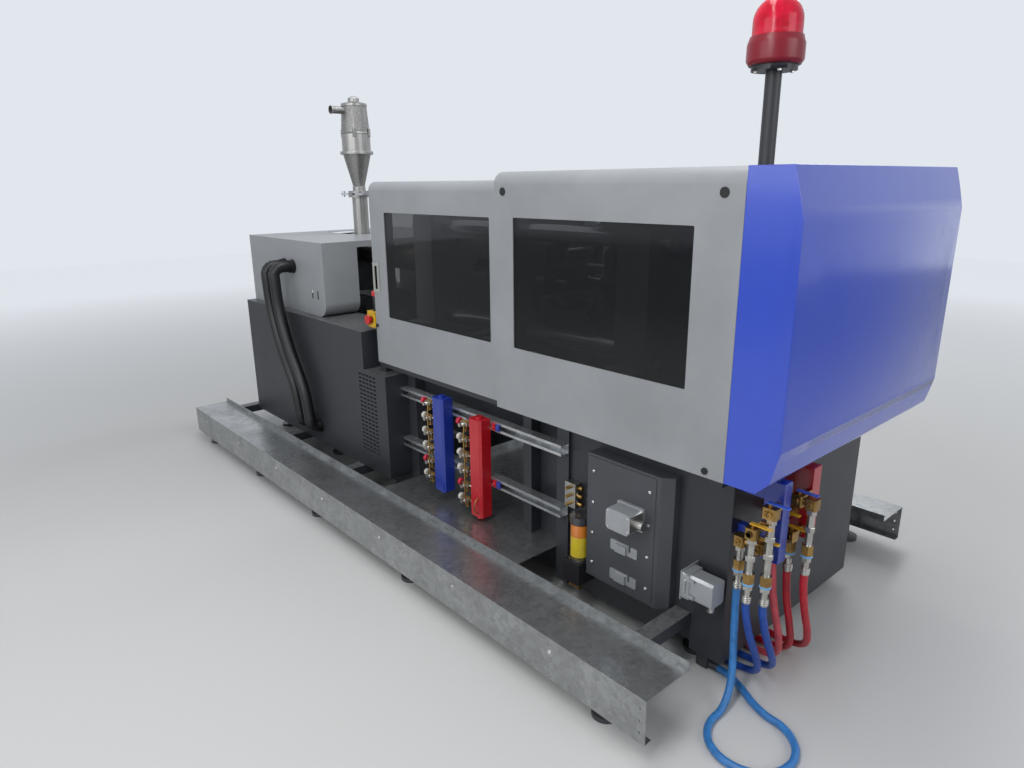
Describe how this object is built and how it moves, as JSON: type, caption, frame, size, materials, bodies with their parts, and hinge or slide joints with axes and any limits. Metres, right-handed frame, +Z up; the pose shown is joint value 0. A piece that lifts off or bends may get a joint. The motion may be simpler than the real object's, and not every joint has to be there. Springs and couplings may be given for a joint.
{
  "type": "injection moulding machine",
  "caption": "Electric horizontal injection moulding machine with a toggle clamp, sliding guard doors, an injection unit, a hopper, cooling manifolds and a beacon.",
  "frame": {"origin": "centre of the machine's footprint on the floor, cords left out", "axes": "+X along the machine towards the clamp end, -Y towards the non-operator side with the service connections, +Z up"},
  "size_m": [3.8477, 1.754, 2.09],
  "materials": {
    "bed_dark": "semi-matt",
    "cabinet_dark": "semi-matt",
    "tray_metal": "bare sheet",
    "strut_metal": "galvanised",
    "manifold_red": "gloss",
    "manifold_blue": "gloss",
    "manifold_end": "gloss, one bar blue and one red",
    "brass": "satin",
    "box_dark": "matt",
    "connector_grey": "cast",
    "pump_black": "matt",
    "cover_grey": "satin",
    "door_grey": "satin",
    "cover_blue": "gloss",
    "window_smoke": "clear",
    "frame_dark": "satin",
    "pole_dark": "satin",
    "dome_red": "clear",
    "reflector_metal": "polished",
    "platen_metal": "machined",
    "tie_chrome": "ground",
    "link_steel": "machined",
    "screw_steel": "ground",
    "belt_black": "matt",
    "motor_black": "satin",
    "carriage_grey": "painted",
    "barrel_steel": "heat tinted",
    "hopper_grey": "satin",
    "duct_black": "ribbed",
    "estop_yellow": "gloss",
    "estop_red": "gloss",
    "panel_grey": "matt",
    "hose_light_blue": "gloss",
    "hose_blue": "gloss",
    "hose_light_red": "gloss",
    "hose_red": "gloss"
  },
  "bodies": {
    "machine_body": {"bed_frame": "bed_dark", "clamp_cabinet": "cabinet_dark", "injection_cabinet": "cabinet_dark", "levelling_feet": "frame_dark", "side_trays": "tray_metal", "floor_pan": "tray_metal", "strut_rails": "strut_metal", "red_mid_manifold": "manifold_red", "blue_mid_manifold": "manifold_blue", "mid_valves": "brass", "end_manifolds": "manifold_end", "end_valves": "brass", "junction_box": "box_dark", "hood_connectors": "connector_grey", "grease_pump": "pump_black", "clamp_cover": "cover_grey", "cover_windows": "window_smoke", "end_cover": "cover_blue", "door_frame": "frame_dark", "beacon_pole": "pole_dark", "beacon_dome": "dome_red", "fixed_platen": "platen_metal", "rear_platen": "platen_metal", "tie_bars": "tie_chrome", "drive_belt": "belt_black", "clamp_motor": "motor_black", "injection_cover": "cover_grey", "cooling_ducts": "duct_black", "estop_station": "estop_yellow", "operator_panel": "panel_grey", "blue_hose_1": "hose_light_blue", "blue_hose_2": "hose_blue", "blue_hose_3": "hose_blue", "red_hose_1": "hose_light_red", "red_hose_2": "hose_red", "red_hose_3": "hose_red"},
    "platen": {"moving_platen": "platen_metal"},
    "ejector": {"ejector_plate": "link_steel"},
    "crosshead_body": {"crosshead": "link_steel"},
    "rear_top": {"rear_link_top": "link_steel"},
    "front_top": {"front_link_top": "link_steel"},
    "short_top": {"short_link_top": "link_steel"},
    "rear_bottom": {"rear_link_bottom": "link_steel"},
    "front_bottom": {"front_link_bottom": "link_steel"},
    "short_bottom": {"short_link_bottom": "link_steel"},
    "clamp_screw": {"drive_screw": "screw_steel"},
    "pulley": {"motor_pulley": "screw_steel"},
    "carriage": {"injection_carriage": "carriage_grey", "barrel": "barrel_steel", "hopper": "hopper_grey"},
    "gate": {"hopper_gate": "screw_steel"},
    "pusher": {"pusher_plate": "carriage_grey"},
    "screw": {"plasticizing_screw": "screw_steel"},
    "door_near": {"near_door": "door_grey", "near_door_window": "window_smoke"},
    "door_far": {"far_door": "door_grey", "far_door_window": "window_smoke"},
    "estop_near": {"estop_button": "estop_red"},
    "estop_far": {"panel_estop_button": "estop_red"},
    "reflector": {"beacon_reflector": "reflector_metal"}
  },
  "joints": [
    {"name": "near_door_slide", "type": "slide", "parent": "machine_body", "child": "door_near", "axis": [1, 0, 0], "range_m": [0, 0.8]},
    {"name": "far_door_slide", "type": "slide", "parent": "machine_body", "child": "door_far", "axis": [1, 0, 0], "range_m": [0, 0.8]},
    {"name": "platen_slide", "type": "slide", "parent": "machine_body", "child": "platen", "axis": [-1, 0, 0], "range_m": [0, 0.2265]},
    {"name": "crosshead_slide", "type": "slide", "parent": "machine_body", "child": "crosshead_body", "axis": [-1, 0, 0], "range_m": [0, 0.0895]},
    {"name": "rear_link_top_pivot", "type": "hinge", "parent": "machine_body", "child": "rear_top", "pos_m": [0.99038, 0, 1.26], "axis": [0, -1, 0], "range_deg": [0, 44]},
    {"name": "front_link_top_pivot", "type": "hinge", "parent": "rear_top", "child": "front_top", "pos_m": [0.77519, 0, 1.51018], "axis": [0, 1, 0], "range_deg": [0, 88]},
    {"name": "short_link_top_pivot", "type": "hinge", "parent": "rear_top", "child": "short_top", "pos_m": [0.90561, 0, 1.35856], "axis": [0, 1, 0], "range_deg": [0, 88]},
    {"name": "rear_link_bottom_pivot", "type": "hinge", "parent": "machine_body", "child": "rear_bottom", "pos_m": [0.99038, 0, 1.04], "axis": [0, 1, 0], "range_deg": [0, 44]},
    {"name": "front_link_bottom_pivot", "type": "hinge", "parent": "rear_bottom", "child": "front_bottom", "pos_m": [0.77519, 0, 0.78982], "axis": [0, -1, 0], "range_deg": [0, 88]},
    {"name": "short_link_bottom_pivot", "type": "hinge", "parent": "rear_bottom", "child": "short_bottom", "pos_m": [0.90561, 0, 0.94144], "axis": [0, -1, 0], "range_deg": [0, 88]},
    {"name": "clamp_screw_turn", "type": "hinge", "parent": "machine_body", "child": "clamp_screw", "pos_m": [0.99038, 0, 1.15], "axis": [1, 0, 0], "range_deg": [0, 1700]},
    {"name": "motor_pulley_turn", "type": "hinge", "parent": "machine_body", "child": "pulley", "pos_m": [1.3, -0.27, 1], "axis": [1, 0, 0], "range_deg": [0, 2800]},
    {"name": "ejector_slide", "type": "slide", "parent": "platen", "child": "ejector", "axis": [-1, 0, 0], "range_m": [0, 0.06]},
    {"name": "carriage_slide", "type": "slide", "parent": "machine_body", "child": "carriage", "axis": [-1, 0, 0], "range_m": [0, 0.2]},
    {"name": "pusher_slide", "type": "slide", "parent": "carriage", "child": "pusher", "axis": [-1, 0, 0], "range_m": [0, 0.11]},
    {"name": "plasticizing_screw_turn", "type": "hinge", "parent": "pusher", "child": "screw", "pos_m": [-1.3, 0, 1.15], "axis": [1, 0, 0], "continuous": true},
    {"name": "hopper_gate_slide", "type": "slide", "parent": "carriage", "child": "gate", "axis": [-1, 0, 0], "range_m": [0, 0.072]},
    {"name": "near_estop_press", "type": "slide", "parent": "machine_body", "child": "estop_near", "axis": [0, 1, 0], "range_m": [0, 0.004], "stiffness_N_per_m": 1500, "springref_m": -0.002},
    {"name": "far_estop_press", "type": "slide", "parent": "machine_body", "child": "estop_far", "axis": [0, -1, 0], "range_m": [0, 0.004], "stiffness_N_per_m": 1500, "springref_m": -0.002},
    {"name": "reflector_turn", "type": "hinge", "parent": "machine_body", "child": "reflector", "pos_m": [1.413, 0, 2], "axis": [0, 0, 1], "continuous": true}
  ],
  "couplings": [
    {"joint": "crosshead_slide", "follows": "platen_slide", "ratio": 0.39394},
    {"joint": "rear_link_top_pivot", "follows": "platen_slide", "rad_per_m": 3.3739},
    {"joint": "front_link_top_pivot", "follows": "platen_slide", "rad_per_m": 6.7479},
    {"joint": "short_link_top_pivot", "follows": "platen_slide", "rad_per_m": 6.7479},
    {"joint": "rear_link_bottom_pivot", "follows": "platen_slide", "rad_per_m": 3.3739},
    {"joint": "front_link_bottom_pivot", "follows": "platen_slide", "rad_per_m": 6.7479},
    {"joint": "short_link_bottom_pivot", "follows": "platen_slide", "rad_per_m": 6.7479},
    {"joint": "clamp_screw_turn", "follows": "platen_slide", "rad_per_m": 123.76},
    {"joint": "motor_pulley_turn", "follows": "platen_slide", "rad_per_m": 206.27}
  ]
}
